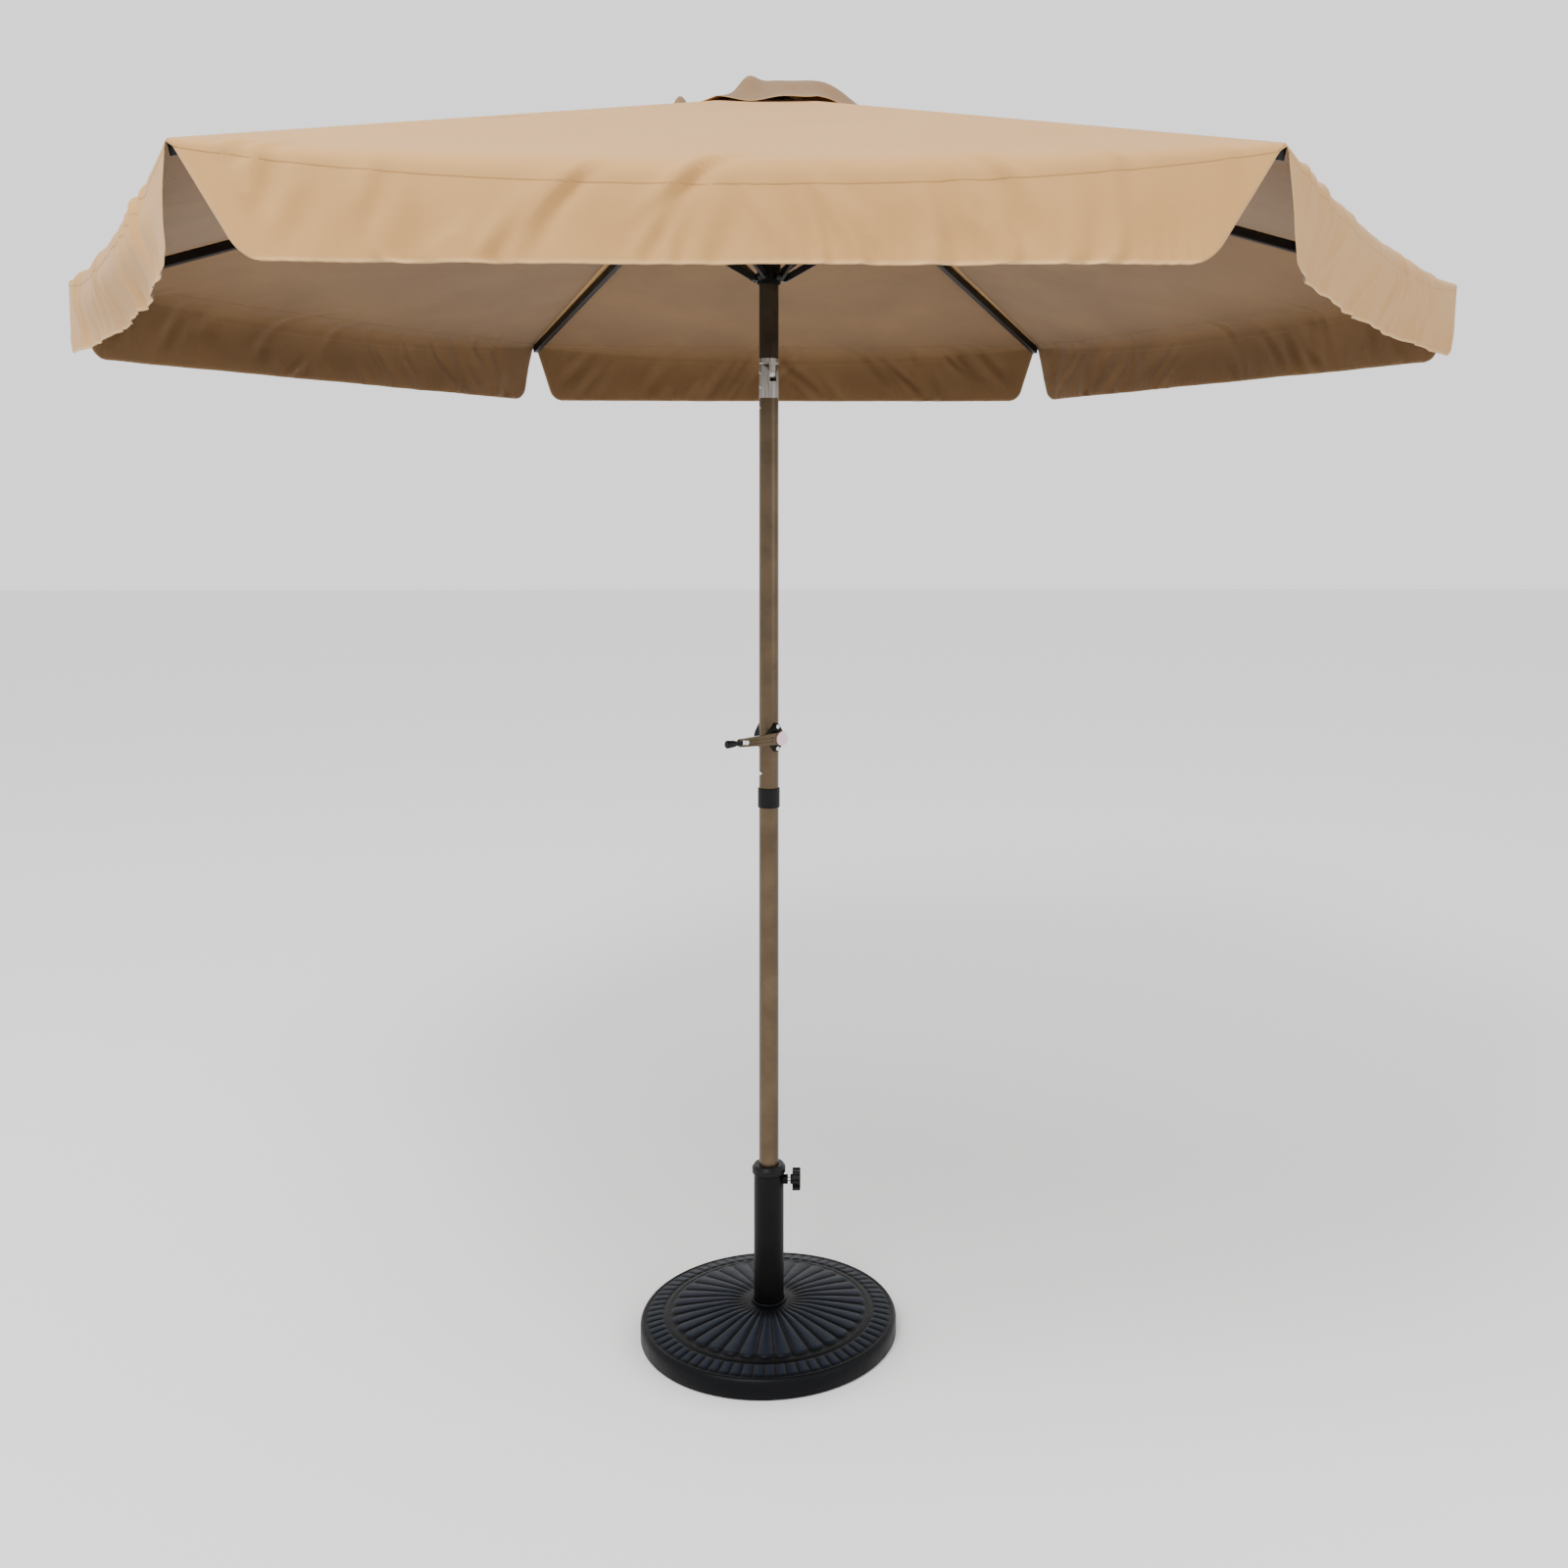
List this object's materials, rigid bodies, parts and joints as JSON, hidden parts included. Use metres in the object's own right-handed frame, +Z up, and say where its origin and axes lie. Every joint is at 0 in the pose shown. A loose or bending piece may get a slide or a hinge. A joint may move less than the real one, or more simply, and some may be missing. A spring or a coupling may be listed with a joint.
{
  "type": "patio umbrella with base",
  "caption": "Round crank-up, tilting patio umbrella with a six-panel fabric canopy and hanging valance, standing in a round domed resin base.",
  "frame": {"origin": "centre of the base's underside, on the pole's axis", "axes": "+Z up along the pole; +X to the right-hand canopy corner, where the base's lock knob also points; -Y is the front, the middle of one canopy panel"},
  "size_m": [2.7046, 2.3442, 2.446],
  "materials": {
    "canopy_cloth": "matte",
    "pole_bronze": "satin",
    "rib_paint": "satin",
    "bare_aluminium": "satin",
    "black_plastic": "satin",
    "black_tube": "satin",
    "base_resin": "satin",
    "bright_steel": "polished",
    "inner_steel": "satin",
    "cap_disc": "gloss"
  },
  "bodies": {
    "base": {"base_weight": "base_resin", "base_tube": "black_tube", "base_nut": "bright_steel", "tube_collar": "black_plastic"},
    "lock_screw": {"lock_screw": "bright_steel"},
    "lock_knob": {"lock_knob": "black_plastic"},
    "pole_foot": {"pole_foot": "black_plastic"},
    "pole": {"lower_pole": "pole_bronze", "pole_ferrule": "black_plastic", "joining_sleeve": "inner_steel", "middle_pole": "pole_bronze", "crank_housing_front": "black_plastic", "crank_housing_back": "black_plastic", "crank_screws": "bright_steel", "tilt_socket": "bare_aluminium", "tilt_pins": "bright_steel"},
    "snap_button": {"snap_button": "bright_steel"},
    "crank": {"crank_spool": "black_plastic", "crank_arm": "pole_bronze", "crank_cap": "cap_disc"},
    "crank_knob": {"crank_knob": "black_plastic"},
    "tilt_button": {"tilt_button": "black_plastic"},
    "upper": {"tilt_tongue": "bare_aluminium", "upper_pole": "pole_bronze", "hub": "black_plastic", "hub_pins": "bright_steel", "top_cap": "black_plastic", "vent_cap": "canopy_cloth"},
    "hub_pulley": {"hub_pulley": "black_plastic"},
    "runner": {"runner": "black_plastic"},
    "rib_1": {"rib_1": "rib_paint", "rib_fittings_1": "black_plastic"},
    "rib_2": {"rib_2": "rib_paint", "rib_fittings_2": "black_plastic"},
    "rib_3": {"rib_3": "rib_paint", "rib_fittings_3": "black_plastic"},
    "rib_4": {"rib_4": "rib_paint", "rib_fittings_4": "black_plastic"},
    "rib_5": {"rib_5": "rib_paint", "rib_fittings_5": "black_plastic"},
    "rib_6": {"rib_6": "rib_paint", "rib_fittings_6": "black_plastic"},
    "strut_1": {"strut_1": "rib_paint"},
    "strut_2": {"strut_2": "rib_paint"},
    "strut_3": {"strut_3": "rib_paint"},
    "strut_4": {"strut_4": "rib_paint"},
    "strut_5": {"strut_5": "rib_paint"},
    "strut_6": {"strut_6": "rib_paint"},
    "panel_1": {"panel_1": "canopy_cloth"},
    "panel_2": {"panel_2": "canopy_cloth"},
    "panel_3": {"panel_3": "canopy_cloth"},
    "panel_4": {"panel_4": "canopy_cloth"},
    "panel_5": {"panel_5": "canopy_cloth"},
    "panel_6": {"panel_6": "canopy_cloth"},
    "flap_1": {"flap_1": "canopy_cloth"},
    "flap_2": {"flap_2": "canopy_cloth"},
    "flap_3": {"flap_3": "canopy_cloth"},
    "flap_4": {"flap_4": "canopy_cloth"},
    "flap_5": {"flap_5": "canopy_cloth"},
    "flap_6": {"flap_6": "canopy_cloth"}
  },
  "joints": [
    {"name": "pole_lift", "type": "slide", "parent": "base", "child": "pole_foot", "axis": [0, 0, 1], "range_m": [0, 0.24]},
    {"name": "pole_turn", "type": "hinge", "parent": "pole_foot", "child": "pole", "pos_m": [0, 0, 0.067], "axis": [0, 0, 1], "continuous": true},
    {"name": "lock_screw_travel", "type": "slide", "parent": "base", "child": "lock_screw", "axis": [1, 0, 0], "range_m": [0, 0.00452]},
    {"name": "lock_knob_turn", "type": "hinge", "parent": "lock_screw", "child": "lock_knob", "pos_m": [0.05, 0, 0.295], "axis": [1, 0, 0], "range_deg": [0, 1080]},
    {"name": "snap_button_press", "type": "slide", "parent": "pole", "child": "snap_button", "axis": [0.7986, 0.6018, 0], "range_m": [0, 0.004], "stiffness_N_per_m": 400},
    {"name": "crank_turn", "type": "hinge", "parent": "pole", "child": "crank", "pos_m": [0.02165, -0.02491, 1.159], "axis": [0.6561, -0.7547, 0], "range_deg": [0, 3046.91]},
    {"name": "crank_knob_fold", "type": "hinge", "parent": "crank", "child": "crank_knob", "pos_m": [-0.04969, -0.09222, 1.159], "axis": [0, 0, 1], "range_deg": [0, 90]},
    {"name": "tilt", "type": "hinge", "parent": "pole", "child": "upper", "pos_m": [0, 0, 1.867], "axis": [-0.866, -0.5, 0], "range_deg": [-35, 0]},
    {"name": "tilt_button_press", "type": "slide", "parent": "pole", "child": "tilt_button", "axis": [-0.866, -0.5, 0], "range_m": [0, 0.004], "stiffness_N_per_m": 400},
    {"name": "canopy_fold", "type": "hinge", "parent": "upper", "child": "rib_1", "pos_m": [0.02, -0.03464, 2.38155], "axis": [0.866, 0.5, 0], "range_deg": [0, 69], "deforming": ["panel_1", "panel_2", "panel_3", "panel_4", "panel_5", "panel_6", "flap_1", "flap_2", "flap_3", "flap_4", "flap_5", "flap_6", "vent_cap"]},
    {"name": "rib_2_fold", "type": "hinge", "parent": "upper", "child": "rib_2", "pos_m": [0.04, 0, 2.38155], "axis": [0, 1, 0], "range_deg": [0, 69.01]},
    {"name": "rib_3_fold", "type": "hinge", "parent": "upper", "child": "rib_3", "pos_m": [0.02, 0.03464, 2.38155], "axis": [-0.866, 0.5, 0], "range_deg": [0, 69.01]},
    {"name": "rib_4_fold", "type": "hinge", "parent": "upper", "child": "rib_4", "pos_m": [-0.02, 0.03464, 2.38155], "axis": [-0.866, -0.5, 0], "range_deg": [0, 69.01]},
    {"name": "rib_5_fold", "type": "hinge", "parent": "upper", "child": "rib_5", "pos_m": [-0.04, 0, 2.38155], "axis": [0, -1, 0], "range_deg": [0, 69.01]},
    {"name": "rib_6_fold", "type": "hinge", "parent": "upper", "child": "rib_6", "pos_m": [-0.02, -0.03464, 2.38155], "axis": [0.866, -0.5, 0], "range_deg": [0, 69.01]},
    {"name": "runner_slide", "type": "slide", "parent": "upper", "child": "runner", "axis": [0, 0, -1], "range_m": [0, 0.47855]},
    {"name": "strut_1_turn", "type": "hinge", "parent": "runner", "child": "strut_1", "pos_m": [0.016, -0.02771, 2.053], "axis": [0.866, 0.5, 0], "range_deg": [-55.68, 0]},
    {"name": "strut_2_turn", "type": "hinge", "parent": "runner", "child": "strut_2", "pos_m": [0.032, 0, 2.053], "axis": [0, 1, 0], "range_deg": [-55.68, 0]},
    {"name": "strut_3_turn", "type": "hinge", "parent": "runner", "child": "strut_3", "pos_m": [0.016, 0.02771, 2.053], "axis": [-0.866, 0.5, 0], "range_deg": [-55.68, 0]},
    {"name": "strut_4_turn", "type": "hinge", "parent": "runner", "child": "strut_4", "pos_m": [-0.016, 0.02771, 2.053], "axis": [-0.866, -0.5, 0], "range_deg": [-55.68, 0]},
    {"name": "strut_5_turn", "type": "hinge", "parent": "runner", "child": "strut_5", "pos_m": [-0.032, 0, 2.053], "axis": [0, -1, 0], "range_deg": [-55.68, 0]},
    {"name": "strut_6_turn", "type": "hinge", "parent": "runner", "child": "strut_6", "pos_m": [-0.016, -0.02771, 2.053], "axis": [0.866, -0.5, 0], "range_deg": [-55.68, 0]},
    {"name": "panel_1_fold", "type": "hinge", "parent": "upper", "child": "panel_1", "pos_m": [0, -0.03464, 2.38155], "axis": [1, 0, 0], "range_deg": [0, 66.62]},
    {"name": "panel_2_fold", "type": "hinge", "parent": "upper", "child": "panel_2", "pos_m": [0.03, -0.01732, 2.38155], "axis": [0.5, 0.866, 0], "range_deg": [0, 66.62]},
    {"name": "panel_3_fold", "type": "hinge", "parent": "upper", "child": "panel_3", "pos_m": [0.03, 0.01732, 2.38155], "axis": [-0.5, 0.866, 0], "range_deg": [0, 66.62]},
    {"name": "panel_4_fold", "type": "hinge", "parent": "upper", "child": "panel_4", "pos_m": [0, 0.03464, 2.38155], "axis": [-1, 0, 0], "range_deg": [0, 66.62]},
    {"name": "panel_5_fold", "type": "hinge", "parent": "upper", "child": "panel_5", "pos_m": [-0.03, 0.01732, 2.38155], "axis": [-0.5, -0.866, 0], "range_deg": [0, 66.62]},
    {"name": "panel_6_fold", "type": "hinge", "parent": "upper", "child": "panel_6", "pos_m": [-0.03, -0.01732, 2.38155], "axis": [0.5, -0.866, 0], "range_deg": [0, 66.62]},
    {"name": "flap_1_fold", "type": "hinge", "parent": "panel_1", "child": "flap_1", "pos_m": [0, -1.16808, 2.0356], "axis": [1, 0, 0], "range_deg": [-66.62, 0]},
    {"name": "flap_2_fold", "type": "hinge", "parent": "panel_2", "child": "flap_2", "pos_m": [1.01159, -0.58404, 2.0356], "axis": [0.5, 0.866, 0], "range_deg": [-66.62, 0]},
    {"name": "flap_3_fold", "type": "hinge", "parent": "panel_3", "child": "flap_3", "pos_m": [1.01159, 0.58404, 2.0356], "axis": [-0.5, 0.866, 0], "range_deg": [-66.62, 0]},
    {"name": "flap_4_fold", "type": "hinge", "parent": "panel_4", "child": "flap_4", "pos_m": [0, 1.16808, 2.0356], "axis": [-1, 0, 0], "range_deg": [-66.62, 0]},
    {"name": "flap_5_fold", "type": "hinge", "parent": "panel_5", "child": "flap_5", "pos_m": [-1.01159, 0.58404, 2.0356], "axis": [-0.5, -0.866, 0], "range_deg": [-66.62, 0]},
    {"name": "flap_6_fold", "type": "hinge", "parent": "panel_6", "child": "flap_6", "pos_m": [-1.01159, -0.58404, 2.0356], "axis": [0.5, -0.866, 0], "range_deg": [-66.62, 0]},
    {"name": "hub_pulley_turn", "type": "hinge", "parent": "upper", "child": "hub_pulley", "pos_m": [0.0052, -0.003, 2.31955], "axis": [0.5, 0.866, 0], "range_deg": [0, 2611.78]}
  ],
  "couplings": [
    {"joint": "lock_screw_travel", "follows": "lock_knob_turn", "m_per_rad": 0.0002387},
    {"joint": "crank_turn", "follows": "canopy_fold", "ratio": 44.144},
    {"joint": "rib_2_fold", "follows": "canopy_fold", "ratio": 1},
    {"joint": "rib_3_fold", "follows": "canopy_fold", "ratio": 1},
    {"joint": "rib_4_fold", "follows": "canopy_fold", "ratio": 1},
    {"joint": "rib_5_fold", "follows": "canopy_fold", "ratio": 1},
    {"joint": "rib_6_fold", "follows": "canopy_fold", "ratio": 1},
    {"joint": "runner_slide", "follows": "canopy_fold", "m_per_rad": 0.39729},
    {"joint": "strut_1_turn", "follows": "canopy_fold", "ratio": -0.80688},
    {"joint": "strut_2_turn", "follows": "canopy_fold", "ratio": -0.80688},
    {"joint": "strut_3_turn", "follows": "canopy_fold", "ratio": -0.80688},
    {"joint": "strut_4_turn", "follows": "canopy_fold", "ratio": -0.80688},
    {"joint": "strut_5_turn", "follows": "canopy_fold", "ratio": -0.80688},
    {"joint": "strut_6_turn", "follows": "canopy_fold", "ratio": -0.80688},
    {"joint": "panel_1_fold", "follows": "canopy_fold", "ratio": 0.96533},
    {"joint": "panel_2_fold", "follows": "canopy_fold", "ratio": 0.96533},
    {"joint": "panel_3_fold", "follows": "canopy_fold", "ratio": 0.96533},
    {"joint": "panel_4_fold", "follows": "canopy_fold", "ratio": 0.96533},
    {"joint": "panel_5_fold", "follows": "canopy_fold", "ratio": 0.96533},
    {"joint": "panel_6_fold", "follows": "canopy_fold", "ratio": 0.96533},
    {"joint": "flap_1_fold", "follows": "canopy_fold", "ratio": -0.96533},
    {"joint": "flap_2_fold", "follows": "canopy_fold", "ratio": -0.96533},
    {"joint": "flap_3_fold", "follows": "canopy_fold", "ratio": -0.96533},
    {"joint": "flap_4_fold", "follows": "canopy_fold", "ratio": -0.96533},
    {"joint": "flap_5_fold", "follows": "canopy_fold", "ratio": -0.96533},
    {"joint": "flap_6_fold", "follows": "canopy_fold", "ratio": -0.96533},
    {"joint": "hub_pulley_turn", "follows": "canopy_fold", "ratio": 37.837}
  ]
}
